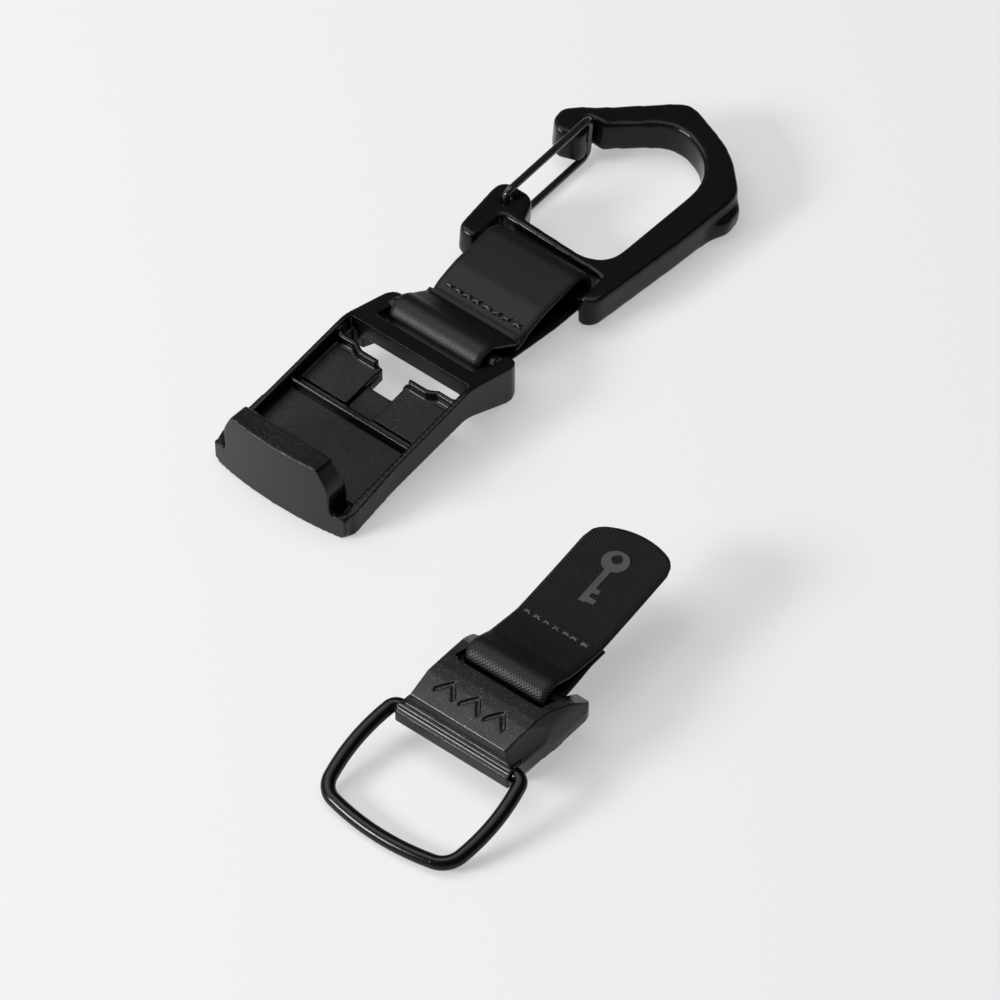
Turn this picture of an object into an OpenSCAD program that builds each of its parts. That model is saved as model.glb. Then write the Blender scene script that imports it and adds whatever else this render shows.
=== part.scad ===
// Key organiser in two halves that snap together with magnets: a socket on a short strap with a
// wire-gate carabiner, and a pull plate with a D-ring and a webbing tab. All sizes in millimetres.
// X runs across the socket, Y runs along it towards the carabiner, Z is up from the table.

/* [Layout] */
// Distance across from the socket's centreline to the pull half's
pull_x = 75.3; // [60:1:100]
// Where the pull half's front edge lies along the socket
pull_y = -31.8; // [-60:1:0]
// Turn of the pull half on the table
pull_yaw = 1.4; // [-5:0.1:5]
// Lean of the free tab to one side
tab_lean = 3.5; // [-5:0.5:5]

/* [Socket] */
// Half width of the socket at the hook
hook_end_half = 18.4; // [18:0.1:19]
// Half width of the socket at the strap
strap_end_half = 17.6; // [16:0.1:19]
// Length of the socket
socket_len = 58.6; // [57:0.1:61]
// Height of the hook
hook_h = 17.2; // [17:0.1:19]
// Half width of the hook's lip
lip_half = 11.7; // [11:0.1:12.5]
// How far the lip reaches over the recess
lip_depth = 5.3; // [5:0.1:5.6]
// Slope of the socket's platform, in degrees
pitch = 9; // [8:0.1:10]
// Half width of the recess
recess_half = 16.3; // [16:0.1:16.4]

/* [Strap and webbing] */
// Width of the strap
strap_w = 25; // [24:0.1:25.4]
// Thickness of one strap layer
strap_t = 1.6; // [1.4:0.1:1.6]
// Width of the tab's webbing
webbing_w = 20; // [18:0.1:20.4]
// Thickness of one webbing layer
webbing_t = 1.4; // [1.2:0.1:1.4]
// Length of the tab beyond its row of stitches
tab_len = 30; // [25:1:35]

/* [Carabiner] */
// Thickness of the carabiner's frame
frame_t = 8.1; // [7.6:0.1:8.4]
// Tilt of the carabiner as it lies on its gate
roll = 4.3; // [3.5:0.1:4.5]
// Diameter of the gate's wire
gate_wire_d = 1.7; // [1.5:0.1:1.8]
// Distance between the gate's two legs
gate_span = 11.7; // [11.4:0.1:12]

/* [Pull half] */
// Half width of the plate's front bar
front_bar_half = 14.2; // [13:0.1:14.2]
// Diameter of the ring's wire
ring_wire_d = 3; // [2.6:0.1:3]
// Height of the ring's bore above the table
bore_z = 7.6; // [7.5:0.1:7.7]
// Depth of the arrow marks in the plate
mark_depth = 0.5; // [0.2:0.1:0.6]

/* [Hidden] */

$fn = 48;
moulding = "#1c1c1d";
steel = "#5a5c60";
magnet = "#8d8f94";
fabric = "#202123";
thread = "#141415";
ink = "#6b6c6e";

// Middle of the whole layout, which is moved onto the origin
centre_x = 34.3;
centre_y = 43.0;

// Socket, drawn from its front edge
front_bow_r = 85;
front_lean = 1;
neck_half = 14.3;
neck_back_y = 7.4;
mouth_half = 10.9;
floor_w = 2.4;
tray_start = 7.8;
ridge_u = 24.5;
ridge_t = 0.8;
ridge_top_w = 4.6;
groove_end_u = 27.4;
panel_end_u = 37.6;
lip_top_w = 4.3;
bar_front_y = 43.0;
bar_back_y = 47.4;
bar_under_z = 7.6;
end_bar_y = 53.9;
end_bar_z = 8.5;
end_bar_r = 2;
strap_slot_half = 13.4;

// Magnets and the plates over and under them
magnet_size = [11, 10, 1.5];
magnet_gap = 2.4;
magnet_u = 14.6;
floor_plate_t = 0.6;
keeper_t = 0.4;
play = 0.05;

// Strap loops, and how far a layer's outline starts inside the roll it leaves
seat = 0.03;
strap_loop_r = 2.65;
hook_bar_y = 82.7;
hook_bar_z = 6.8;
hook_bar_r = 1.75;
hook_loop_r = 3.4;
overlap_y = 63.2;

// Carabiner, drawn flat with its spine's lower edge at spine_x
spine_x = 18.9;
slot_back_y = 88.9;
gate_pivot = [-16.6, 92.5];
gate_tip = [-18.3, 122.9];
wire_r = gate_wire_d / 2;
gate_mid_h = frame_t / 2;
pivot_bend = 1.7;
tip_bend = 2.2;
pivot_play = 0.08;
bar_h = (hook_bar_z - spine_x * sin(roll)) / cos(roll);

// Ring, drawn flat from the middle of its straight side
ring_r = ring_wire_d / 2;
corner_r = 2.0;
corner_a = 78;
side_r = 44;
side_a = 24;
far_corner_r = 5;
far_a = 12;
far_r = 60;
far_corner_a = 180 - corner_a - side_a - far_a;
straight_half = far_r * sin(far_a) - far_corner_r * (sin(far_a) - sin(corner_a + side_a))
    - corner_r * sin(corner_a) - side_r * (sin(corner_a + side_a) - sin(corner_a));
bore_v = 2.4;
bore_play = 0.06;
// How far the joins between the ring's bends stand out
weld = 0.015;

// Pull plate
plate_under_z = 5.4;
plate_front_v = 2.1;
plate_back_v = 14.4;
ear_inner_half = 10.9;
ear_half = 15;
rear_bar_v = 19.8;
rear_bar_z = 10.95;
rear_bar_r = 1.4;
webbing_loop_z = 12;
webbing_loop_r = 2.6;
stitch_v = 33.5;
marks_at = [7, 14.29];
marks_slope = 9.5;

function unit(v) = v / norm(v);
function turn(a, b) = let (d = b - a) d > 180 ? d - 360 : d < -180 ? d + 360 : d;
// One corner of an outline, rounded to its own radius
function corner(p, q, s) =
    let (
        d1 = unit([p[0] - q[0], p[1] - q[1]]),
        d2 = unit([s[0] - q[0], s[1] - q[1]]),
        half = acos(d1 * d2) / 2,
        c = [q[0], q[1]] + unit(d1 + d2) * q[2] / sin(half),
        t1 = [q[0], q[1]] + d1 * q[2] / tan(half) - c,
        t2 = [q[0], q[1]] + d2 * q[2] / tan(half) - c,
        a1 = atan2(t1[1], t1[0]),
        sweep = turn(a1, atan2(t2[1], t2[0])),
        n = max(2, ceil(abs(sweep) / 10))
    )
    [for (i = [0 : n]) c + q[2] * [cos(a1 + sweep * i / n), sin(a1 + sweep * i / n)]];
// A closed outline from [x, y, radius] corners; radius 0 leaves a corner sharp
function rounded(pts) =
    let (n = len(pts))
    [for (i = [0 : n - 1])
        each pts[i][2] == 0 ? [[pts[i][0], pts[i][1]]]
            : corner(pts[(i + n - 1) % n], pts[i], pts[(i + 1) % n])];
// Reach of a circle at an angle, as a point
function on_circle(c, r, a) = c + r * [cos(a), sin(a)];

// A side view, drawn as [y, z], carried across the width
module across(width, x0 = 0) {
    translate([x0, 0, 0]) rotate([90, 0, 90]) linear_extrude(width, center = true) children();
}
// A front view, drawn as [x, z], carried back along the length
module along(y0, y1) {
    translate([0, y1, 0]) rotate([90, 0, 0]) linear_extrude(y1 - y0) children();
}
module box(lo, hi) {
    translate(lo) cube(hi - lo);
}
module bar_x(y, z, r, half) {
    translate([-half, y, z]) rotate([0, 90, 0]) cylinder(r = r, h = 2 * half);
}

// Places: the whole layout, the sloping platform, the tilted carabiner and the pull half
module placed() {
    translate([-centre_x, -centre_y, 0]) children();
}
module on_platform() {
    rotate([pitch, 0, 0]) children();
}
module on_carabiner() {
    placed() translate([spine_x, 0, 0]) rotate([0, roll, 0]) translate([-spine_x, 0, 0]) children();
}
module on_pull() {
    placed() translate([pull_x, pull_y, 0]) rotate([0, 0, pull_yaw]) children();
}

// --- Socket ---

socket_side = rounded([
    [0, 0, 0.8], [4.5, 0, 0], [40.5, 5.3, 8], [53.5, 0, 3], [socket_len, 0, 3],
    [socket_len, 8.3, 2.6], [42, 12.6, 10], [4, 5.9, 0], [0, 5.4, 0.8]]);
socket_plan = rounded([
    [-hook_end_half, -3, 0], [hook_end_half, -3, 0], [hook_end_half, 5, 12],
    [strap_end_half, 18, 60], [strap_end_half, socket_len, 4.2],
    [-strap_end_half, socket_len, 4.2], [-strap_end_half, 18, 60], [-hook_end_half, 5, 12]]);
front_plan = rounded([
    [-hook_end_half, 0, 5.5], [hook_end_half, 0, 5.5], [hook_end_half, 20, 0], [-hook_end_half, 20, 0]]);
hook_side = rounded([
    [-1, 0, 0], [-1, hook_h, 0], [lip_depth, hook_h, 0.4], [lip_depth + 0.3, 14.5, 3],
    [neck_back_y - 0.7, 9.5, 6], [neck_back_y, 4, 0], [neck_back_y, 2, 0]]);
hook_front = rounded([
    [-18, 0, 0], [18, 0, 0], [18, 5.3, 0], [neck_half, 5.3, 1.6], [neck_half, 12.2, 6],
    [lip_half, hook_h, 1], [-lip_half, hook_h, 1], [-neck_half, 12.2, 6], [-neck_half, 5.3, 1.6], [-18, 5.3, 0]]);
// The recess in plan: open beside the hook's neck, and from behind it to the strap bar
recess_plan = rounded([
    [-recess_half, 2.7, 1.2], [-neck_half - 0.05, 2.7, 0], [-neck_half - 0.05, neck_back_y + 0.1, 1.5],
    [neck_half + 0.05, neck_back_y + 0.1, 1.5], [neck_half + 0.05, 2.7, 0], [recess_half, 2.7, 1.2],
    [recess_half, bar_front_y, 0], [-recess_half, bar_front_y, 0]]);
// Raised lips at the ends of the two far panels, each with an S-bend towards the socket's side
end_lip_plan = rounded([
    [4.3, 36.95, 0.5], [9.4, 36.95, 1.6], [11.6, 38.1, 1.6], [recess_half + 0.3, 38.1, 0],
    [recess_half + 0.3, 39.6, 0], [4.3, 39.6, 0.3]]);
ridge_section = rounded([
    [ridge_u, 1.5, 0], [ridge_u + ridge_t, 1.5, 0], [ridge_u + ridge_t, ridge_top_w, 0.38],
    [ridge_u, ridge_top_w, 0.38]]);

module front_bow() {
    rotate([front_lean, 0, 0]) translate([0, front_bow_r, -5]) cylinder(r = front_bow_r, h = 40, $fn = 240);
}
module socket_blank() {
    intersection() {
        across(50) polygon(socket_side);
        translate([0, 0, -1]) linear_extrude(30) polygon(socket_plan);
        union() {
            translate([0, 0, -1]) linear_extrude(30) polygon(front_plan);
            box([-30, 10, -1], [30, 70, 30]);
        }
        front_bow();
    }
}
module hook_block() {
    intersection() {
        across(50) polygon(hook_side);
        along(-5, 12) polygon(hook_front);
        front_bow();
    }
}
// The open recess above the sloping floor, up to the strap bar
module recess() {
    intersection() {
        linear_extrude(40) polygon(recess_plan);
        on_platform() box([-30, -5, floor_w], [30, 60, 40]);
    }
    on_platform() box([-recess_half + 0.4, ridge_u + ridge_t, floor_w - 0.6], [recess_half - 0.4, groove_end_u, 6]);
}
module stem_pocket() {
    on_platform() box([-3.6, groove_end_u - 0.2, 1.1], [3.6, panel_end_u - 0.2, 6]);
}
module end_lips() {
    intersection() {
        for (side = [-1, 1]) scale([side, 1, 1]) translate([0, 0, 6]) linear_extrude(20) polygon(end_lip_plan);
        on_platform() box([-20, 30, -5], [20, 50, lip_top_w]);
    }
}
// The T-shaped slot that goes right through in front of the strap bar
module tee_slot() {
    translate([0, 0, -5]) linear_extrude(40) polygon(rounded([
        [-15.4, 39.2, 0.4], [-11.2, 39.2, 1.4], [-9, 38.05, 1.4], [-3.3, 38.05, 0], [-3.3, 33.7, 0.8],
        [3.3, 33.7, 0.8], [3.3, 38.05, 0], [9, 38.05, 1.4], [11.2, 39.2, 1.4], [15.4, 39.2, 0.4],
        [15.4, bar_front_y, 0], [-15.4, bar_front_y, 0]]));
}
// The space under the hook's lip, between its two cheeks
module mouth() {
    across(2 * mouth_half) polygon(rounded([
        [2.8, 4, 0], [9, 4, 0], [9, 14.9, 0], [lip_depth - 0.8, 14.9, 0.6], [2.8, 13.2, 1]]));
}
module magnet_pocket() {
    half_x = magnet_size[0] + magnet_gap / 2 + play;
    half_u = magnet_size[1] / 2 + play;
    low = floor_w - floor_plate_t - magnet_size[2] - keeper_t - 3 * play;
    on_platform() {
        box([-half_x, magnet_u - half_u, low], [half_x, magnet_u + half_u, 8]);
        box([-recess_half + 0.5, tray_start + 0.6, floor_w - floor_plate_t - play],
            [recess_half - 0.5, ridge_u - 0.3, 8]);
    }
}
module socket_frame() {
    color(moulding) placed() difference() {
        union() {
            difference() {
                union() {
                    socket_blank();
                    hook_block();
                }
                recess();
                stem_pocket();
                mouth();
                across(2 * strap_slot_half) polygon([[42.9, 12.3], [48, 11], [48, 20], [42.9, 20]]);
            }
            end_lips();
            on_platform() across(2 * recess_half + 0.4) polygon(ridge_section);
        }
        tee_slot();
        magnet_pocket();
        box([-strap_slot_half, bar_back_y, -5], [strap_slot_half, 70, 30]);
        box([-strap_slot_half, bar_front_y - 1, -5], [strap_slot_half, bar_back_y + 1, bar_under_z]);
    }
    color(moulding) placed() bar_x(end_bar_y, end_bar_z, end_bar_r, strap_slot_half + 1);
}
module socket_floor_plate() {
    color(moulding) placed() on_platform()
        box([-recess_half + 0.5 + play, tray_start + 0.6 + play, floor_w - floor_plate_t],
            [recess_half - 0.5 - play, ridge_u - 0.3 - play, floor_w]);
}
module magnet_pair(z_top, y_mid) {
    for (side = [-1, 1])
        translate([side * (magnet_size[0] + magnet_gap) / 2, y_mid, z_top - magnet_size[2] / 2])
            cube(magnet_size, center = true);
}
module socket_magnets() {
    color(magnet) placed() on_platform() magnet_pair(floor_w - floor_plate_t - play, magnet_u);
}
module socket_keeper() {
    half_x = magnet_size[0] + magnet_gap / 2;
    top = floor_w - floor_plate_t - magnet_size[2] - 2 * play;
    color(steel) placed() on_platform()
        box([-half_x, magnet_u - magnet_size[1] / 2, top - keeper_t], [half_x, magnet_u + magnet_size[1] / 2, top]);
}

// --- Strap, one band sewn into two loops ---

socket_loop_c = [end_bar_y, end_bar_z];
hook_loop_c = [hook_bar_y, hook_bar_z];
socket_loop_out = strap_loop_r + strap_t;
hook_loop_out = hook_loop_r + strap_t;

module strap_section() {
    difference() {
        union() {
            translate(socket_loop_c) circle(r = socket_loop_out);
            translate(hook_loop_c) circle(r = hook_loop_out);
            polygon([
                on_circle(socket_loop_c, socket_loop_out - seat, 55), [overlap_y, 7.4], [overlap_y, 8.8],
                [70, 9.5], on_circle(hook_loop_c, hook_loop_out - seat, 103),
                on_circle(hook_loop_c, hook_loop_out - seat, -94), [68, 2.5], [62, 3.0],
                on_circle(socket_loop_c, socket_loop_out - seat, -101)]);
        }
        translate(socket_loop_c) circle(r = strap_loop_r);
        translate(hook_loop_c) circle(r = hook_loop_r);
        polygon([on_circle(socket_loop_c, strap_loop_r - seat, 58), [61, 5.7], [61, 5.2],
            on_circle(socket_loop_c, strap_loop_r - seat, -98)]);
        polygon([on_circle(hook_loop_c, hook_loop_r - seat, 105), [71, 6.4], [71, 5.7],
            on_circle(hook_loop_c, hook_loop_r - seat, -96)]);
    }
}
module strap_band() {
    color(fabric) placed() across(strap_w) strap_section();
}
module strap_stitches() {
    count = 7;
    spacing = 2.9;
    slope = atan2(9.5 - 8.8, 70 - overlap_y);
    row_y = 66.2;
    row_z = 8.8 + (row_y - overlap_y) * tan(slope) + 0.03;
    color(thread) placed()
        for (i = [0 : count - 1])
            translate([0.4 + (i - (count - 1) / 2) * spacing, row_y, row_z]) rotate([slope, 0, 0])
                rotate([0, 0, 12]) box([-1.1, -0.4, 0], [1.1, 0.4, 0.45]);
}

// --- Carabiner ---

outer_plan = rounded([
    [17.2, 80.9, 3.4], [18.9, 110, 90], [19.2, 128.6, 8], [9.6, 138, 26], [-6.4, 143.7, 5],
    [-25.9, 122.4, 3], [-25.2, 118.6, 2], [-22, 115.9, 2], [-16.9, 118, 1.2],
    [-10, 112, 0], [-10, 92, 0], [-10, 80.9, 0]]);
hole_plan = rounded([
    [-10.5, 91.2, 0], [11.3, 91.3, 6.5], [11.3, 131.9, 14], [-4.4, 136, 8.5], [-13.6, 126.6, 3],
    [-15.4, 124.4, 0.3], [-19.6, 124.4, 0.3], [-19.6, 121.4, 0.3], [-16.9, 121.4, 0.5],
    [-16.9, 118, 0], [-10.5, 110, 0]]);
lug_plan = rounded([
    [-14.6, 79.2, 0.8], [-19.2, 79.2, 2.5], [-21.9, 97.4, 3.2], [-12.7, 97.6, 3.6],
    [-10, 91.2, 0], [-9, 91.2, 0], [-9, slot_back_y, 0], [-14.6, slot_back_y, 0]]);
thumb_plan = rounded([
    [15, 114.5, 0], [18.2, 116, 4], [21.3, 122.8, 3.2], [20.4, 127.8, 3.2], [16, 131.5, 0]]);

module slab(h0, h1) {
    translate([0, 0, h0]) linear_extrude(h1 - h0) children();
}
module nose_plan() {
    intersection() {
        difference() {
            polygon(outer_plan);
            polygon(hole_plan);
        }
        translate([-30, 110]) square([14, 17]);
    }
}
module carabiner_frame() {
    color(moulding) on_carabiner() difference() {
        union() {
            slab(0, frame_t) difference() {
                polygon(outer_plan);
                polygon(hole_plan);
                translate([-14.6, 70]) square([14.6 + 13.2, slot_back_y - 70]);
            }
            slab(0.5, frame_t + 0.4) nose_plan();
            slab(0.3, frame_t - 0.3) polygon(lug_plan);
            slab(0.6, 5.2) polygon(thumb_plan);
            bar_x(hook_bar_y, bar_h, hook_bar_r, 14.9);
        }
        translate([gate_pivot[0], gate_pivot[1], -5]) cylinder(r = wire_r + pivot_play, h = 25);
    }
}

// A quarter bend of wire in the plane of x and z, from +z at the origin round to +x
module wire_bend(bend, r) {
    translate([bend, 0, 0]) rotate([90, 0, 0]) rotate([0, 0, 90])
        rotate_extrude(angle = 90) translate([bend, 0]) circle(r = r);
}
// One half of the gate, from its pin in the lug to the middle of its closed end
module gate_half() {
    leg = norm(gate_tip - gate_pivot);
    rise = gate_span / 2;
    translate([0, 0, 0.6]) cylinder(r = wire_r, h = rise - pivot_bend - 0.6);
    translate([0, 0, rise - pivot_bend]) wire_bend(pivot_bend, wire_r);
    translate([pivot_bend, 0, rise]) rotate([0, 90, 0]) cylinder(r = wire_r, h = leg - pivot_bend - tip_bend);
    translate([leg, 0, rise - tip_bend]) mirror([1, 0, 0]) wire_bend(tip_bend, wire_r);
    translate([leg, 0, 0]) cylinder(r = wire_r, h = rise - tip_bend);
}
module gate_wire() {
    heading = atan2(gate_tip[1] - gate_pivot[1], gate_tip[0] - gate_pivot[0]);
    color(steel) on_carabiner() translate([gate_pivot[0], gate_pivot[1], gate_mid_h])
        rotate([0, 0, heading]) for (side = [0, 1]) mirror([0, 0, side]) gate_half();
}

// --- Pull half ---

front_section = rounded([
    [0, plate_under_z, 0.5], [4.6, plate_under_z, 0], [4.6, 9.4, 0], [1.95, 9.4, 0], [1.95, 9.75, 0.2],
    [1.2, 9.75, 0.3], [0.7, 8.7, 0.5], [0, 8.6, 0.15]]);
shell_side = rounded([
    [plate_front_v, plate_under_z, 0], [25.8, plate_under_z, 1], [26, 8.6, 1.8], [20.5, 12.25, 8], [15, 14.15, 12],
    [9.5, 15, 20], [plate_front_v, 13.1, 0.25]]);
shell_front = rounded([
    [-ear_half, 5, 0], [ear_half, 5, 0], [ear_half, 7.6, 1.2], [14.3, 11, 6], [12, 15.2, 0], [-12, 15.2, 0],
    [-14.3, 11, 6], [-ear_half, 7.6, 1.2]]);
shell_plan = rounded([
    [-14.2, 0, 0], [14.2, 0, 0], [14.2, 6, 10], [ear_half, 14, 10], [ear_half, 26.2, 2.8],
    [ear_inner_half, 26.2, 1], [ear_inner_half, plate_back_v, 1], [-ear_inner_half, plate_back_v, 1],
    [-ear_inner_half, 26.2, 1], [-ear_half, 26.2, 2.8], [-ear_half, 14, 10], [-14.2, 6, 10]]);

// A hollow down each side of the plate, deepest at the front
module side_scoops() {
    scoop_r = 16;
    for (side = [-1, 1]) scale([side, 1, 1])
        translate([27.8, 4, 17.1]) rotate([0, 0, -8]) rotate([90, 0, 0])
            cylinder(r = scoop_r, h = 70, center = true, $fn = 160);
}
// Three chevrons that point along the pull
module pull_marks() {
    for (i = [-1 : 1]) translate([i * 6.2, 0]) polygon([
        [-2.5, -1], [-2.5, -2.4], [0, 0.9], [2.5, -2.4], [2.5, -1], [0, 2.3]]);
}
module pull_plate() {
    color(moulding) on_pull() difference() {
        union() {
            across(2 * front_bar_half) polygon(front_section);
            difference() {
                intersection() {
                    across(40) polygon(shell_side);
                    along(-5, 40) polygon(shell_front);
                    linear_extrude(30) polygon(shell_plan);
                }
                side_scoops();
            }
            bar_x(rear_bar_v, rear_bar_z, rear_bar_r, ear_inner_half + 0.6);
            box([-9, 6.6, 3.75], [9, 18.4, 6.5]);
        }
        bar_x(bore_v, bore_z, ring_r + bore_play, 20);
        translate([0, marks_at[0], marks_at[1]]) rotate([marks_slope, 0, 0])
            translate([0, 0, -mark_depth]) linear_extrude(3) pull_marks();
    }
}
module pull_base() {
    color(moulding) on_pull() difference() {
        linear_extrude(plate_under_z - play) polygon(rounded([
            [-11.6, 4.8, 1.6], [11.6, 4.8, 1.6], [11.6, 21, 2.5], [-11.6, 21, 2.5]]));
        half_x = magnet_size[0] + magnet_gap / 2 + play;
        box([-half_x, 12.5 - magnet_size[1] / 2 - play, 1.65], [half_x, 12.5 + magnet_size[1] / 2 + play, 3.7]);
        box([-9 - play, 6.6 - play, 3.6], [9 + play, 18.4 + play, 10]);
    }
}
module pull_magnets() {
    color(magnet) on_pull() magnet_pair(3.2, 12.5);
}
module pull_keeper() {
    color(steel) on_pull()
        box([-8.8, 12.5 - magnet_size[1] / 2, 3.25], [8.8, 12.5 + magnet_size[1] / 2, 3.25 + keeper_t]);
}

// --- Ring ---

ring_len = corner_r * (1 - cos(corner_a)) + side_r * (cos(corner_a) - cos(corner_a + side_a))
    + far_corner_r * (cos(corner_a + side_a) - cos(180 - far_a)) + far_r * (cos(180 - far_a) + 1);
ring_tilt = asin((bore_z - ring_r) / ring_len);

// An arc of wire that starts at the origin heading at an angle and bends to the left
module wire_arc(heading, r, sweep) {
    rotate([0, 0, heading]) translate([0, r, 0]) rotate([0, 0, -90])
        rotate_extrude(angle = sweep, $fn = 96) translate([r, 0]) circle(r = ring_r, $fn = 32);
}
function arc_end(p, heading, r, sweep) =
    p + r * [sin(heading + sweep) - sin(heading), cos(heading) - cos(heading + sweep)];
ring_p1 = [straight_half, 0];
ring_p2 = arc_end(ring_p1, 0, corner_r, corner_a);
ring_p3 = arc_end(ring_p2, corner_a, side_r, side_a);
ring_p4 = arc_end(ring_p3, corner_a + side_a, far_corner_r, far_corner_a);
ring_p5 = arc_end(ring_p4, 180 - far_a, far_r, far_a);

module ring_half_wire() {
    for (p = [ring_p1, ring_p2, ring_p3, ring_p4, ring_p5]) translate(p) sphere(r = ring_r + weld);
    translate(ring_p1) wire_arc(0, corner_r, corner_a);
    translate(ring_p2) wire_arc(corner_a, side_r, side_a);
    translate(ring_p3) wire_arc(corner_a + side_a, far_corner_r, far_corner_a);
    translate(ring_p4) wire_arc(180 - far_a, far_r, far_a);
}
module key_ring() {
    color(steel) on_pull() translate([0, bore_v, bore_z]) rotate([180 + ring_tilt, 0, 0]) {
        bar_x(0, 0, ring_r, ring_p1[0]);
        for (side = [0, 1]) mirror([side, 0, 0]) ring_half_wire();
    }
}

// --- Tab ---

tab_loop_c = [rear_bar_v, webbing_loop_z];
tab_loop_out = webbing_loop_r + webbing_t;
seam_top_z = 13.3;

module tab_loop_section() {
    difference() {
        union() {
            translate(tab_loop_c) circle(r = tab_loop_out);
            polygon([
                on_circle(tab_loop_c, tab_loop_out - seat, 78), [stitch_v - 3, seam_top_z + 0.2],
                [stitch_v + 2.5, seam_top_z], [stitch_v + 2.5, seam_top_z - 2 * webbing_t],
                [stitch_v - 3, seam_top_z - 2 * webbing_t], on_circle(tab_loop_c, tab_loop_out - seat, -85)]);
        }
        translate(tab_loop_c) circle(r = webbing_loop_r);
        polygon([on_circle(tab_loop_c, webbing_loop_r - seat, 80), [stitch_v - 6, seam_top_z - webbing_t + 0.15],
            [stitch_v - 6, seam_top_z - webbing_t - 0.1], on_circle(tab_loop_c, webbing_loop_r - seat, -84)]);
    }
}
module tab_flap_plan() {
    half = webbing_w / 2;
    bow = 3.4;
    bow_r = (half * half + bow * bow) / (2 * bow);
    intersection() {
        polygon(rounded([[-half, 0, 0], [half, 0, 0], [half, tab_len, 3], [-half, tab_len, 3]]));
        translate([0, tab_len - bow_r]) circle(r = bow_r, $fn = 96);
    }
    translate([-half, 0]) square([webbing_w, tab_len / 2]);
}
module on_flap() {
    on_pull() translate([0, stitch_v, seam_top_z - webbing_t]) rotate([0, 0, tab_lean]) rotate([1.2, 0, 0])
        children();
}
module tab_webbing() {
    color(fabric) {
        on_pull() across(webbing_w) tab_loop_section();
        on_flap() linear_extrude(webbing_t) tab_flap_plan();
    }
}
module tab_stitches() {
    count = 7;
    spacing = 2.4;
    color(thread) on_pull()
        for (i = [0 : count - 1])
            translate([(i - (count - 1) / 2) * spacing, stitch_v - 1.2, seam_top_z + 0.24])
                rotate([0, 0, 12]) box([-0.95, -0.35, 0], [0.95, 0.35, 0.4]);
}
// A plain key, drawn as a ring, a shank and two teeth
module tab_print() {
    color(ink) on_flap() translate([-0.4, tab_len / 2 + 1.5, webbing_t + 0.01]) linear_extrude(0.08) {
        difference() {
            translate([0, 4.6]) circle(r = 2.9);
            translate([0, 5.2]) circle(r = 1.2);
        }
        translate([-0.7, -7.5]) square([1.4, 10]);
        translate([0.5, -7.2]) square([2.1, 1.3]);
        translate([0.5, -4.6]) square([1.5, 1.3]);
    }
}

socket_frame();
socket_floor_plate();
socket_magnets();
socket_keeper();
strap_band();
strap_stitches();
carabiner_frame();
gate_wire();
pull_plate();
pull_base();
pull_magnets();
pull_keeper();
key_ring();
tab_webbing();
tab_stitches();
tab_print();
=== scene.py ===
import math
import random

import bmesh
import bpy
from mathutils import Matrix, Vector


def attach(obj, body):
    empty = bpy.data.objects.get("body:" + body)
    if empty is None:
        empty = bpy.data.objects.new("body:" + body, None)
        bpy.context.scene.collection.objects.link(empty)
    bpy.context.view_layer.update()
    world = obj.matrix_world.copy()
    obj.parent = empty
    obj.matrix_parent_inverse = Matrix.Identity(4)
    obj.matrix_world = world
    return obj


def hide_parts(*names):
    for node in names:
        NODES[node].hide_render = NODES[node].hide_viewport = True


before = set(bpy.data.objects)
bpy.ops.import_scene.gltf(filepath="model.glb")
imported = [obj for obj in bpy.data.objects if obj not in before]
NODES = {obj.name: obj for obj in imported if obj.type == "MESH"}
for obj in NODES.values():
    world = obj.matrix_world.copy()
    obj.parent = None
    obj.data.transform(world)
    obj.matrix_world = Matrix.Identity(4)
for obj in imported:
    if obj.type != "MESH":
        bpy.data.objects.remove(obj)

random.seed(7)
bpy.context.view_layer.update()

# ---------------------------------------------------------------- places, in millimetres
# The drawing's zero is the middle of the socket's front edge, on the table.
# CENTRE is where the row frame's zero lies in it. PULL and YAW place the pull half in it.
MM = 0.001
CENTRE = Vector((34.3, 43.0, 0.0))
PULL = Vector((75.3, -31.8, 0.0))
YAW = math.radians(1.4)
M_SOCKET = Matrix.Scale(MM, 4) @ Matrix.Translation(-CENTRE)
M_PULL = M_SOCKET @ Matrix.Translation(PULL) @ Matrix.Rotation(YAW, 4, "Z")


# ---------------------------------------------------------------- materials
FINE, BROAD, GLINT_NOISE = (3.0, 0.6), (2.0, 0.5), (1.0, 0.4)
BROAD_SCALE = 90.0
# The light grey of the painted glints: dots that stand in for the sparkle of a grained surface.
PAINTED_GLINT = (0.16, 0.16, 0.165)


def new_mat(name):
    """A new material, its node tree and its shader."""
    m = bpy.data.materials.new(name)
    m.use_nodes = True
    nt = m.node_tree
    nt.nodes.clear()
    out = nt.nodes.new("ShaderNodeOutputMaterial")
    b = nt.nodes.new("ShaderNodeBsdfPrincipled")
    nt.links.new(b.outputs["BSDF"], out.inputs["Surface"])
    return m, nt, b


def node(nt, kind, **kw):
    """A new node, with its inputs or settings by name."""
    n = nt.nodes.new(kind)
    for k, v in kw.items():
        if k in n.inputs:
            n.inputs[k].default_value = v
        else:
            setattr(n, k, v)
    return n


def feed(nt, socket, value):
    """Sets a socket to a value, or links an output to it."""
    if isinstance(value, bpy.types.NodeSocket):
        nt.links.new(value, socket)
    else:
        socket.default_value = value


def calc(nt, operation, *values):
    """A math node's result, from numbers or outputs."""
    n = node(nt, "ShaderNodeMath", operation=operation)
    for socket, value in zip(n.inputs, values):
        feed(nt, socket, value)
    return n.outputs[0]


def coords(nt):
    """The piece's own coordinates, in metres."""
    return nt.nodes.new("ShaderNodeTexCoord").outputs["Object"]


def noise(nt, vector, scale, kind):
    """A noise texture's value. kind is its (detail, roughness)."""
    n = node(nt, "ShaderNodeTexNoise", Scale=scale, Detail=kind[0], Roughness=kind[1])
    nt.links.new(vector, n.inputs["Vector"])
    return n.outputs["Fac"]


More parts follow.
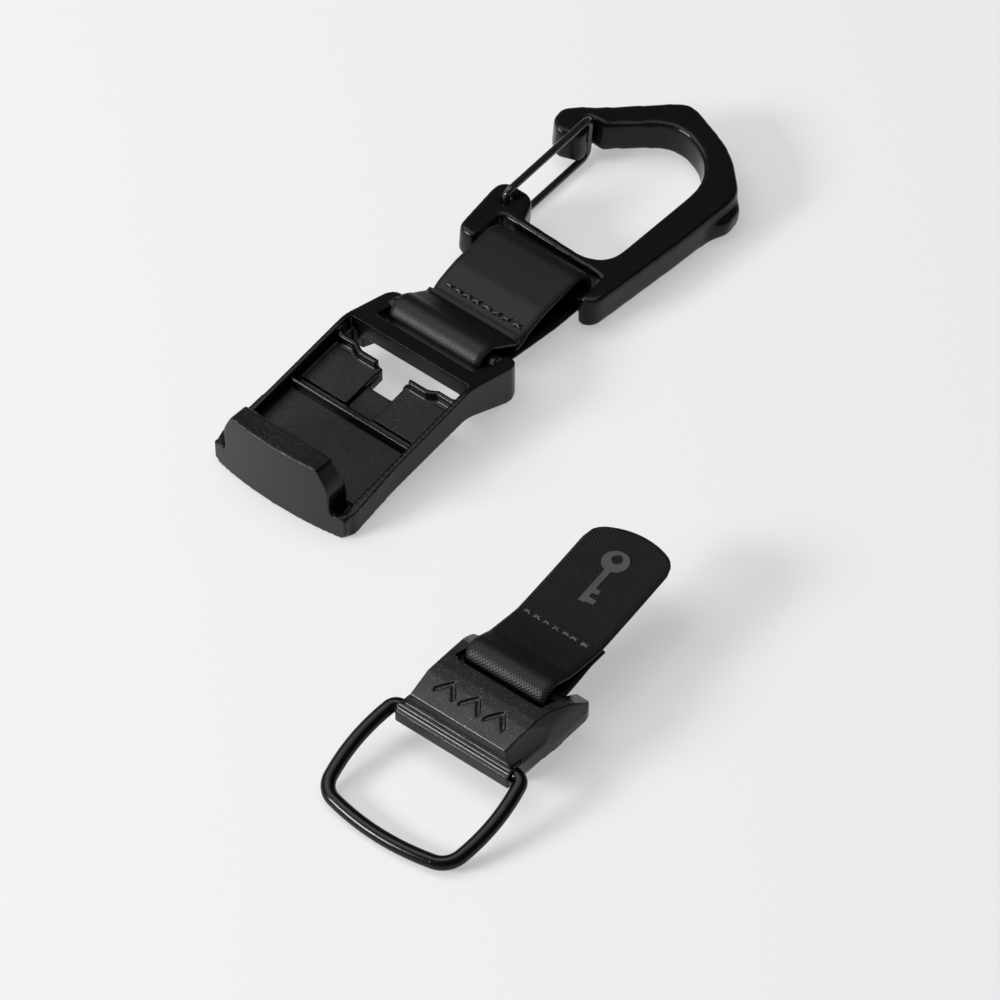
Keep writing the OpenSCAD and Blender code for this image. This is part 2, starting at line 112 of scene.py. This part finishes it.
def ramp(nt, fac, lo, hi, a=0.0, b=1.0):
    """Maps lo..hi to a..b, and holds it there outside."""
    r = nt.nodes.new("ShaderNodeMapRange")
    names = ("From Min", "From Max", "To Min", "To Max")
    for name, value in zip(names, (lo, hi, a, b)):
        r.inputs[name].default_value = value
    nt.links.new(fac, r.inputs["Value"])
    return r.outputs["Result"]


def mix_col(nt, fac, a, b):
    """Blends two colours or outputs by a factor."""
    m = node(nt, "ShaderNodeMix", data_type="RGBA")
    nt.links.new(fac, m.inputs[0])
    for i, c in ((6, a), (7, b)):
        feed(nt, m.inputs[i], c if isinstance(c, bpy.types.NodeSocket) else (*c, 1))
    return m.outputs[2]


def mix_value(nt, fac, a, b):
    """Blends two numbers or outputs by a factor."""
    m = node(nt, "ShaderNodeMix", data_type="FLOAT")
    for i, value in ((0, fac), (2, a), (3, b)):
        feed(nt, m.inputs[i], value)
    return m.outputs[0]


def relief(nt, b, height, strength, distance):
    """Gives a shader fine relief from a height."""
    bp = node(nt, "ShaderNodeBump", Strength=strength, Distance=distance)
    nt.links.new(height, bp.inputs["Height"])
    nt.links.new(bp.outputs["Normal"], b.inputs["Normal"])


def plastic(name, base, dark, rough, grain, bump, painted_glints=0.0, spec=0.5):
    """Moulded plastic: fine grain in colour, gloss and height, with light dots painted into the colour
    as glints of the grain.
    """
    m, nt, b = new_mat(name)
    v = coords(nt)
    fine = noise(nt, v, grain, FINE)
    colour = mix_col(nt, ramp(nt, noise(nt, v, BROAD_SCALE, BROAD), 0.3, 0.7), dark, base)
    # Painted glints: light grey dots are mixed into the base colour in place of the grain's sparkle.
    if painted_glints > 0:
        glint_spots = ramp(nt, noise(nt, v, grain * 1.6, GLINT_NOISE), 0.66, 0.78, 0.0, painted_glints)
        colour = mix_col(nt, glint_spots, colour, PAINTED_GLINT)
    nt.links.new(colour, b.inputs["Base Color"])
    nt.links.new(ramp(nt, fine, 0.25, 0.75, rough - 0.07, rough + 0.07), b.inputs["Roughness"])
    b.inputs["Specular IOR Level"].default_value = spec
    relief(nt, b, fine, bump, 0.00004)
    return m


def window(nt, value, low, high, soft):
    """1 where value lies between low and high, with soft sides."""
    up = ramp(nt, value, low - soft, low + soft)
    down = ramp(nt, value, high - soft, high + soft, 1.0, 0.0)
    return calc(nt, "MULTIPLY", up, down)


def zone_mask(nt, place, facing):
    """Where a surface point lies in a box of the drawing's millimetres and faces a given way.
    place and facing give (low, high) by axis number."""
    tc = nt.nodes.new("ShaderNodeTexCoord")
    found = None
    for output, limits, soft, shift, unit in (
            ("Object", place, 0.0001, CENTRE, MM),
            ("Normal", facing, 0.06, (0, 0, 0), 1)):
        split = nt.nodes.new("ShaderNodeSeparateXYZ")
        nt.links.new(tc.outputs[output], split.inputs[0])
        for axis, limit in limits.items():
            low, high = ((value - shift[axis]) * unit for value in limit)
            inside = window(nt, split.outputs[axis], low, high, soft)
            found = inside if found is None else calc(nt, "MULTIPLY", found, inside)
    return found


def zoned(name, plain, zones, spec):
    """Moulded plastic whose finish changes by zone, with light dots painted into the colour as glints
    of the grain. zones gives (place, facing, finish) rows.
    """
    m, nt, b = new_mat(name)
    v = coords(nt)
    fine = noise(nt, v, 2400.0, FINE)
    broad = ramp(nt, noise(nt, v, BROAD_SCALE, BROAD), 0.3, 0.7)
    glint_spots = ramp(nt, noise(nt, v, 4000.0, GLINT_NOISE), 0.66, 0.78)
    base, dark, rough, grain, painted_glints = plain
    colour = mix_col(nt, broad, dark, base)
    for place, facing, (z_base, z_dark, z_rough, z_grain, z_painted_glints) in zones:
        mask = zone_mask(nt, place, facing)
        colour = mix_col(nt, mask, colour, mix_col(nt, broad, z_dark, z_base))
        rough = mix_value(nt, mask, rough, z_rough)
        grain = mix_value(nt, mask, grain, z_grain)
        painted_glints = mix_value(nt, mask, painted_glints, z_painted_glints)
    # Painted glints: light grey dots are mixed into the base colour in place of the grain's sparkle.
    colour = mix_col(nt, calc(nt, "MULTIPLY", glint_spots, painted_glints), colour, PAINTED_GLINT)
    nt.links.new(colour, b.inputs["Base Color"])
    uneven = ramp(nt, fine, 0.25, 0.75, -0.05, 0.05)
    nt.links.new(calc(nt, "ADD", rough, uneven), b.inputs["Roughness"])
    b.inputs["Specular IOR Level"].default_value = spec
    relief(nt, b, calc(nt, "MULTIPLY", fine, grain), 1.0, 0.00008)
    return m


def metal(name, base, rough, grain, coat, metallic=0.0, spec=0.6):
    """Painted or bare metal with a slightly uneven gloss."""
    m, nt, b = new_mat(name)
    fine = noise(nt, coords(nt), grain, FINE)
    colour = mix_col(nt, ramp(nt, fine, 0.3, 0.7), tuple(x * 0.85 for x in base), base)
    nt.links.new(colour, b.inputs["Base Color"])
    nt.links.new(ramp(nt, fine, 0.3, 0.7, rough - 0.03, rough + 0.04), b.inputs["Roughness"])
    for socket, value in (("Metallic", metallic), ("Specular IOR Level", spec),
                          ("Coat Weight", coat), ("Coat Roughness", 0.12)):
        b.inputs[socket].default_value = value
    relief(nt, b, fine, 0.06, 0.00003)
    return m


def twill(name, base, light, pitch, rough, bump, angle, spec):
    """Woven webbing. The weave runs in the piece's own flat coordinates, kept in its UV map."""
    m, nt, b = new_mat(name)
    uv = node(nt, "ShaderNodeUVMap", uv_map="flat")
    mp = node(nt, "ShaderNodeMapping", Rotation=(0, 0, angle), Scale=(1 / pitch, 1 / pitch, 1))
    nt.links.new(uv.outputs["UV"], mp.inputs["Vector"])
    flat = mp.outputs["Vector"]
    threads = []
    for way, scale, distortion, detail in (("X", 0.32, 0.6, 1.0), ("Y", 0.30, 0.3, 0.0)):
        w = node(nt, "ShaderNodeTexWave", wave_type="BANDS", bands_direction=way,
                 Scale=scale, Distortion=distortion, Detail=detail)
        nt.links.new(flat, w.inputs["Vector"])
        threads.append(w.outputs["Fac"])
    fuzz = noise(nt, flat, 1.3, (3.0, 0.7))
    height = calc(nt, "MULTIPLY_ADD", fuzz, 0.6, calc(nt, "MULTIPLY", *threads))
    nt.links.new(mix_col(nt, ramp(nt, height, 0.25, 1.1), base, light), b.inputs["Base Color"])
    nt.links.new(ramp(nt, fuzz, 0.3, 0.7, rough - 0.08, rough + 0.08), b.inputs["Roughness"])
    b.inputs["Specular IOR Level"].default_value = spec
    relief(nt, b, height, bump, 0.00012)
    return m


def grey(v):
    """A near-neutral dark grey, a touch blue."""
    return (v, v, v * 1.04)


# Finishes: base, dark, roughness, grain, specks (painted glints: light dots that stand in for the
# grain's sparkle)
MOULDED = (grey(0.0034), grey(0.0024), 0.25, 0.03, 0.0)
# Painted light: the hook's forward faces get a lighter colour that stands in for light falling on them
# from the front.
HOOK_FRONT_PAINTED_LIGHT = (grey(0.0190), grey(0.0165), 0.42, 0.05, 0.0)
LIP_TOP = (grey(0.0075), grey(0.0028), 0.38, 1.0, 0.9)
RECESS = (grey(0.0105), grey(0.0042), 0.42, 0.8, 0.45)
PLATE_TOP = (grey(0.0210), grey(0.0095), 0.36, 1.2, 1.0)
UPWARD = {2: (0.84, 1.2)}
FORWARD = {1: (-1.2, -0.6)}

MAT = {
    "socket": zoned("socket_plastic", MOULDED, [
        # Painted light: forward-facing hook faces are made lighter in place of front lighting.
        ({1: (-1, 2.6), 2: (0.3, 20)}, FORWARD, HOOK_FRONT_PAINTED_LIGHT),
        ({2: (16.6, 20)}, UPWARD, LIP_TOP),
        ({0: (-15.6, 15.6), 1: (8, 37), 2: (0, 9.5)}, UPWARD, RECESS)], 0.21),
    "floor": zoned("recess_grain", RECESS, [], 0.21),
    "carabiner": plastic("carabiner_plastic", grey(0.0042), grey(0.0034), 0.24, 1600, 0.04, 0.0, 0.20),
    "plate": zoned("plate_plastic", MOULDED, [({2: (12, 20)}, UPWARD, PLATE_TOP)], 0.32),
    "side": plastic("plate_side", grey(0.0036), grey(0.0026), 0.26, 1500, 0.10, 0.0, 0.20),
    "wire": metal("wire_black", grey(0.006), 0.20, 700, 0.4, 0.0, 0.5),
    "ring": metal("ring_black", grey(0.0020), 0.20, 600, 0.0, 0.0, 0.22),
    "magnet": metal("nickel", grey(0.55), 0.3, 400, 0.0, 1.0),
    "steel": metal("plain_steel", grey(0.4), 0.4, 500, 0.0, 1.0),
    "strap": twill("strap_weave", grey(0.0022), grey(0.0052), 0.00042, 0.44, 0.26, 0.785, 0.24),
    "tab": twill("tab_twill", grey(0.0028), grey(0.0090), 0.00050, 0.40, 0.40, 0.95, 0.20),
    "thread": plastic("thread", grey(0.007), grey(0.003), 0.42, 3000, 0.4, 0.2),
    "light_thread": plastic("thread_worn", grey(0.045), grey(0.010), 0.5, 3000, 0.4),
    "print": plastic("grey_print", grey(0.070), grey(0.052), 0.6, 1600, 0.3, 0.2, 0.3),
}


# ---------------------------------------------------------------- ways to finish a mesh
def smooth(o, angle):
    """Smooth shading, with a crease where faces meet at more than an angle in degrees."""
    for p in o.data.polygons:
        p.use_smooth = True
    e = o.modifiers.new("by_angle", "EDGE_SPLIT")
    e.split_angle = math.radians(angle)


def soften(o, width):
    """Breaks the edges of a thin CAD node, with modifiers only."""
    w = o.modifiers.new("weld", "WELD")
    w.merge_threshold = 0.000002
    d = o.modifiers.new("flat", "DECIMATE")
    d.decimate_type = "DISSOLVE"
    d.angle_limit = math.radians(0.6)
    b = o.modifiers.new("edge", "BEVEL")
    b.width = width
    b.segments = 1
    b.limit_method = "ANGLE"
    b.angle_limit = math.radians(28)
    b.use_clamp_overlap = True
    b.miter_outer = "MITER_ARC"
    for p in o.data.polygons:
        p.use_smooth = True
    n = o.modifiers.new("normals", "WEIGHTED_NORMAL")
    n.weight = 60


def melt(o, voxel, rounds):
    """Rounds every edge of a closed CAD node, like a cast part, with modifiers only."""
    r = o.modifiers.new("voxels", "REMESH")
    r.mode = "VOXEL"
    r.voxel_size = voxel
    r.use_smooth_shade = True
    s = o.modifiers.new("round", "SMOOTH")
    s.factor = 0.5
    s.iterations = rounds


def paint(name, mat):
    """Gives a CAD node one material, and returns the node."""
    o = NODES[name]
    o.data.materials.clear()
    o.data.materials.append(mat)
    return o


def mesh(name, verts, faces, mat, body, replaces, m, uvs=None, crease=0):
    """A new piece on a body, in place of CAD nodes. m takes its millimetres to the row frame."""
    me = bpy.data.meshes.new(name)
    me.from_pydata([(m @ Vector(v))[:] for v in verts], [], faces)
    me.update()
    if uvs is not None:
        lay = me.uv_layers.new(name="flat")
        for poly in me.polygons:
            for li, vi in zip(poly.loop_indices, poly.vertices):
                lay.data[li].uv = uvs[vi]
    o = bpy.data.objects.new(name, me)
    bpy.context.scene.collection.objects.link(o)
    me.materials.append(mat)
    bm = bmesh.new()
    bm.from_mesh(me)
    bmesh.ops.recalc_face_normals(bm, faces=bm.faces)
    bm.to_mesh(me)
    bm.free()
    if crease:
        smooth(o, crease)
    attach(o, body)
    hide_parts(*replaces)
    return o


# ---------------------------------------------------------------- carried-over CAD nodes
melt(paint("socket_frame", MAT["socket"]), 0.00025, 6)
soften(paint("socket_floor_plate", MAT["floor"]), 0.00003)
paint("socket_magnets", MAT["magnet"])
paint("socket_keeper", MAT["steel"])
paint("pull_magnets", MAT["magnet"])
paint("pull_keeper", MAT["steel"])
melt(paint("carabiner_frame", MAT["carabiner"]), 0.00034, 56)
smooth(paint("gate_wire", MAT["wire"]), 40)
melt(paint("pull_plate", MAT["plate"]), 0.00020, 5)
melt(paint("pull_base", MAT["side"]), 0.00025, 4)
smooth(paint("key_ring", MAT["ring"]), 60)


# ---------------------------------------------------------------- paths, as (y, z) in millimetres
def arc(c, r, a0, a1, n):
    """n + 1 points on a circle's arc, from angle a0 to a1 in degrees."""
    angles = [math.radians(a0 + (a1 - a0) * i / n) for i in range(n + 1)]
    return [(c[0] + r * math.cos(a), c[1] + r * math.sin(a)) for a in angles]


def dense(path, step):
    """The same path with a point at least about every step."""
    out = [path[0]]
    for a, b in zip(path, path[1:]):
        d = math.hypot(b[0] - a[0], b[1] - a[1])
        k = max(1, int(d / step))
        for i in range(1, k + 1):
            out.append((a[0] + (b[0] - a[0]) * i / k, a[1] + (b[1] - a[1]) * i / k))
    return out


def soft_path(path, step, rounds):
    """A path through the given corners, made dense and eased."""
    p = dense(path, step)
    for _ in range(rounds):
        eased = [((a[0] + 2 * b[0] + c[0]) / 4, (a[1] + 2 * b[1] + c[1]) / 4)
                 for a, b, c in zip(p, p[1:], p[2:])]
        p = [p[0]] + eased + [p[-1]]
    return p


# ---------------------------------------------------------------- bands of webbing
SLACK = 0.04


def rounded(d, r, least):
    """A band's share of its full thickness at d from its edge: least there, 1 from r inwards."""
    if d >= r:
        return 1.0
    return math.sqrt(max(0.0, 1 - (1 - d / r) ** 2)) * (1 - least) + least


def band(name, path, half, t, cols, edge, reshape, mat, body, m, replaces):
    """A strip of webbing along a path that is the middle of its thickness. X is its width.
    reshape(i, s, q, up, point) moves a point of it. i and s are its place on the path,
    q its place across, from -1 to 1, and up its side."""
    n = len(path)
    run = [0.0]
    for a, b in zip(path, path[1:]):
        run.append(run[-1] + math.hypot(b[0] - a[0], b[1] - a[1]))
    section = [(-1 + 2 * j / cols, 1) for j in range(cols + 1)]
    section += [(1 - 2 * j / cols, -1) for j in range(cols + 1)]
    verts, uvs, faces = [], [], []
    for i, (py, pz) in enumerate(path):
        a, b = path[max(0, i - 1)], path[min(n - 1, i + 1)]
        d = Vector((b[0] - a[0], b[1] - a[1])).normalized()
        for q, up in section:
            x = half * q
            off = up * t / 2 * rounded(half - abs(x), edge, 0.25)
            verts.append(reshape(i, run[i], q, up, (x, py - d.y * off, pz + d.x * off)))
            uvs.append((x * MM, run[i] * MM))
    k = len(section)
    for i in range(n - 1):
        for j in range(k):
            a, b = i * k + j, i * k + (j + 1) % k
            faces.append((a, b, b + k, a + k))
    faces.append(tuple(range(k - 1, -1, -1)))
    faces.append(tuple(range((n - 1) * k, n * k)))
    return mesh(name, verts, faces, mat, body, replaces, m, uvs, 50)


# The whole strap is one band: its cut end on top, forward over the roll, back below,
# round the carabiner's bar and home.
STRAP_T = 1.6
END_BAR, END_R = (53.9, 8.5), 2.65 + STRAP_T / 2
HOOK_BAR, HOOK_R = (82.7, 6.8), 3.4 + STRAP_T / 2
strap_path = soft_path(
    [(63.4, 7.75), (62.2, 7.3), (60.3, 8.6)]
    + arc(END_BAR, END_R, 38, 180, 22) + arc(END_BAR, END_R, 180, 262, 12)[1:]
    + [(57.5, 4.35), (62, 3.95), (68, 3.3), (76, 2.55)]
    + arc(HOOK_BAR, HOOK_R, -96, 0, 16) + arc(HOOK_BAR, HOOK_R, 0, 104, 16)[1:]
    + [(77, 10.2), (71.5, 9.3), (66.5, 7.6), (64.2, 6.0), (62.4, 5.6)], 0.3, 5)


def strap_edges(i, s, q, up, point):
    """Slightly uneven edges."""
    x, y, z = point
    return (x + (0.015 * math.sin(s * 1.7 + up) if abs(q) > 0.95 else 0.0), y, z)


strap = band("strap", strap_path, 12.5, STRAP_T - SLACK, 30, (STRAP_T - SLACK) * 0.42, strap_edges,
             MAT["strap"], "strap", M_SOCKET, ("strap_band",))

# The tab is one band too: from below its stitches, round the rear bar and on to its free tip.
TAB_T = 1.4
TAB_HALF = 10.0
REAR_BAR, REAR_R = (19.8, 12.0), 2.6 + TAB_T / 2
STITCH_Y = 33.5
FREE_Y, TIP_Y = 38, 63.5
tab_loop = soft_path(
    [(35.8, 11.35), (31.5, 11.2), (26.5, 9.9)]
    + arc(REAR_BAR, REAR_R, -70, -180, 16) + arc(REAR_BAR, REAR_R, 180, 82, 14)[1:]
    + [(24.5, 13.6), (30.5, 12.95), (STITCH_Y, 12.75), (FREE_Y, 12.7)], 0.3, 5)
TAB_FREE = [(FREE_Y, 12.7), (48, 12.85), (56, 13.0), (TIP_Y, 13.2)]
tab_path = tab_loop + soft_path(TAB_FREE, 0.5, 2)[1:]
# The tip's outline is reached gradually, from this point of the path
TIP_I = len(tab_loop) - 30
TIP_BOW, TIP_CORNER, TIP_RIM = 3.4, 2.6, 0.5
TIP_R = (TAB_HALF ** 2 + TIP_BOW ** 2) / (2 * TIP_BOW)
LEAN = math.radians(4.4)


def lean(x, y, z):
    """The free tab's crown, rise and sideways lean, past its stitches."""
    dy = y - STITCH_Y
    if dy <= 0:
        return (x, y, z)
    ca, sa = math.cos(LEAN), math.sin(LEAN)
    z += 0.012 * dy - 0.0011 * x * x * min(1.0, dy / 12)
    return (x * ca - dy * sa, STITCH_Y + x * sa + dy * ca, z)


def tab_end(i, s, q, up, point):
    """The free tab, with a bowed tip, rounded corners and a thin rim."""
    if i < TIP_I:
        return point
    x, y, z = point
    y0, z0 = tab_path[i]
    start = tab_path[TIP_I][0]
    end = TIP_Y - (TIP_R - math.sqrt(max(0.0, TIP_R * TIP_R - x * x)))
    over = abs(x) - (TAB_HALF - TIP_CORNER)
    if over > 0:
        end -= TIP_CORNER - math.sqrt(max(0.0, TIP_CORNER ** 2 - min(over, TIP_CORNER) ** 2))
    y = start + (end - start) * (y0 - start) / (TIP_Y - start)
    return lean(x, y, z0 + (z - z0) * rounded(end - y, TIP_RIM, 0.4))


tab = band("tab", tab_path, TAB_HALF, TAB_T - SLACK, 26, 0.6, tab_end,
           MAT["tab"], "tab", M_PULL, ("tab_webbing",))


# ---------------------------------------------------------------- stitches
def thread_runs(name, runs, r, mat, body, m, replaces):
    """Short lengths of thread in one piece, each a closed tube with tapered ends."""
    verts, faces = [], []
    k = 6
    for pts in runs:
        base, last = len(verts), len(pts) - 1
        for i, p in enumerate(pts):
            a, b = Vector(pts[max(0, i - 1)]), Vector(pts[min(last, i + 1)])
            d = (b - a).normalized()
            s = d.cross(Vector((0, 0, 1))).normalized()
            u = s.cross(d)
            rr = r * (0.45 if i in (0, last) else 1.0)
            for j in range(k):
                turn = 2 * math.pi * j / k
                verts.append(tuple(Vector(p) + s * rr * math.cos(turn) + u * rr * math.sin(turn)))
        for i in range(last):
            for j in range(k):
                a, b = base + i * k + j, base + i * k + (j + 1) % k
                faces.append((a, b, b + k, a + k))
        faces.append(tuple(base + j for j in range(k)))
        faces.append(tuple(base + last * k + j for j in range(k)))
    return mesh(name, verts, faces, mat, body, replaces, m, None, 60)


def bartack(name, x0, x1, count, place, depth, r, mat, body, m, replaces):
    """A row of worn bar-tack clumps, each of a few crossing threads of radius r.
    place(x, y) gives a point on the cloth, and depth is half a clump's size along the band."""
    runs = []
    step = (x1 - x0) / count
    for i in range(count):
        mid = x0 + step * (i + 0.5) + random.uniform(-0.15, 0.15) * step
        for j in range(3):
            a = mid + random.uniform(-0.50, -0.34) * step
            b = mid + random.uniform(0.34, 0.50) * step
            slant = depth * random.uniform(0.5, 1.0) * (1 if j % 2 else -1)
            pts = []
            for q in range(6):
                f = q / 5
                y = slant * (1 - 2 * f) + random.uniform(-0.06, 0.06)
                p = place(a + (b - a) * f, y)
                lift = r * (0.8 + 0.4 * j) * math.sin(math.pi * f) - r * 0.6
                pts.append((p[0], p[1], p[2] + lift))
            runs.append(pts)
    return thread_runs(name, runs, r, mat, body, m, replaces)


def on_strap(x, y):
    """A point on the strap's sloping top at its stitches."""
    return (x, 66.1 + y, 8.47 + y * 0.42)


def on_tab(x, y):
    """A point on the tab's level top at its stitches."""
    return (x, 33.4 + y, 13.42)


strap_thread = bartack("strap_bartack", -10.4, 10.6, 8, on_strap, 0.60, 0.25,
                       MAT["thread"], "strap", M_SOCKET, ("strap_stitches",))
tab_thread = bartack("tab_bartack", -8.6, 8.2, 7, on_tab, 0.62, 0.24,
                     MAT["light_thread"], "tab", M_PULL, ("tab_stitches",))


# ---------------------------------------------------------------- the tab's printed mark
MARK_X = -0.4
MARK_LIFT, MARK_T = 0.06, 0.10
ROW = 0.12


def tab_surface(x, dy):
    """The top of the free tab, in the pull half's millimetres. dy is measured from the stitches."""
    y = STITCH_Y + dy
    top = 12.72 + 0.5 * (TAB_T - SLACK) + max(0.0, y - FREE_Y) * 0.0195
    return lean(x, y, top)


def key_shape():
    """A plain key as rows across the tab, one every ROW: (dy, [(x0, x1), ...])."""
    rows = []
    shaft = 0.7
    head_y, head_r = 21.0, 2.9
    eye_y, eye_r = 21.6, 1.2
    neck = head_y - head_r + 0.4
    y = 8.6
    while y < head_y + head_r:
        spans = []
        if y < neck:
            bit = 2.6 if 9.0 <= y < 10.3 else 2.0 if 11.6 <= y < 12.9 else shaft
            spans = [(-shaft, bit)]
        head = head_r * head_r - (y - head_y) ** 2
        if head > 0:
            w = math.sqrt(head)
            w = max(shaft, w) if y < neck else w
            eye = eye_r * eye_r - (y - eye_y) ** 2
            spans = [(-w, -math.sqrt(eye)), (math.sqrt(eye), w)] if eye > 0 else [(-w, w)]
        rows.append((y, spans))
        y += ROW
    return rows


def tab_mark():
    """The key as thin blocks of ink, from each row to the next."""
    rows = key_shape()
    verts, faces = [], []
    for (ya, sa), (yb, sb) in zip(rows, rows[1:]):
        if len(sa) != len(sb):
            sa = sb = max(sa, sb, key=len)
        for (a0, a1), (b0, b1) in zip(sa, sb):
            k = max(1, int((a1 - a0) / 0.5))
            v = len(verts)
            for drop in (0.0, MARK_T):
                for yy, c0, c1 in ((ya, a0, a1), (yb, b0, b1)):
                    for i in range(k + 1):
                        x, y, z = tab_surface(MARK_X + c0 + (c1 - c0) * i / k, yy)
                        verts.append((x, y, z + MARK_LIFT - drop))
            n = k + 1
            for i in range(v, v + k):
                faces.append((i, i + 1, n + i + 1, n + i))
                faces.append((2 * n + i + 1, 2 * n + i, 3 * n + i, 3 * n + i + 1))
            for i in range(v, v + k):
                faces.append((i + 1, i, 2 * n + i, 2 * n + i + 1))
                faces.append((n + i, n + i + 1, 3 * n + i + 1, 3 * n + i))
            faces.append((v, v + n, v + 3 * n, v + 2 * n))
            faces.append((v + n + k, v + k, v + 2 * n + k, v + 3 * n + k))
    return mesh("tab_mark", verts, faces, MAT["print"], "tab", ("tab_print",), M_PULL)


mark = tab_mark()

# ---------------------------------------------------------------- floor and world
S = 3.0
fl = bpy.data.meshes.new("floor")
fl.from_pydata([(-S, -S, 0), (S, -S, 0), (S, S, 0), (-S, S, 0)], [], [(0, 1, 2, 3)])
floor = bpy.data.objects.new("floor", fl)
floor.location.z = -0.00004
bpy.context.scene.collection.objects.link(floor)
table, _, shader = new_mat("table")
shader.inputs["Base Color"].default_value = (0.42, 0.42, 0.42, 1)
shader.inputs["Emission Color"].default_value = (1, 1, 1, 1)
shader.inputs["Emission Strength"].default_value = 0.42
shader.inputs["Roughness"].default_value = 0.9
shader.inputs["Specular IOR Level"].default_value = 0.1
fl.materials.append(table)

world = bpy.data.worlds.new("studio")
bpy.context.scene.world = world
world.use_nodes = True
sky = world.node_tree.nodes["Background"]
sky.inputs["Color"].default_value = (1, 1, 1, 1)
sky.inputs["Strength"].default_value = 0.11

# ---------------------------------------------------------------- lights and camera
VIEW_AZ, VIEW_EL = 40.3, 46.0
target = (Vector((34.6, 31.0, 0)) - CENTRE) * MM


def toward(az, el):
    """The direction from the set to an azimuth and elevation, in degrees."""
    a, e = math.radians(az), math.radians(el)
    return Vector((math.sin(a) * math.cos(e), -math.cos(a) * math.cos(e), math.sin(e)))


def area(name, az, el, dist, size, power):
    """A soft light that looks at the set."""
    d = toward(az, el)
    light = bpy.data.lights.new(name, "AREA")
    light.shape = "RECTANGLE"
    light.size, light.size_y = size
    light.energy = power
    o = bpy.data.objects.new(name, light)
    o.location = target + d * dist
    o.rotation_euler = d.to_track_quat("Z", "Y").to_euler()
    bpy.context.scene.collection.objects.link(o)


area("overhead", VIEW_AZ + 180, 84, 2.0, (1.4, 1.4), 10.4)
area("key", VIEW_AZ - 115, 54, 1.8, (1.3, 1.3), 13.0)
area("front_left", -29, 23, 1.8, (0.60, 0.38), 36.0)

back = toward(VIEW_AZ, VIEW_EL)
cam = bpy.data.cameras.new("camera")
cam.sensor_width = 36
cam.lens = 182.2
cam.clip_start, cam.clip_end = 0.05, 20
co = bpy.data.objects.new("camera", cam)
co.location = target + back * 1.0395
co.rotation_euler = back.to_track_quat("Z", "Y").to_euler()
bpy.context.scene.collection.objects.link(co)
bpy.context.scene.camera = co
bpy.context.scene.view_settings.view_transform = "Standard"
bpy.context.scene.view_settings.look = "None"
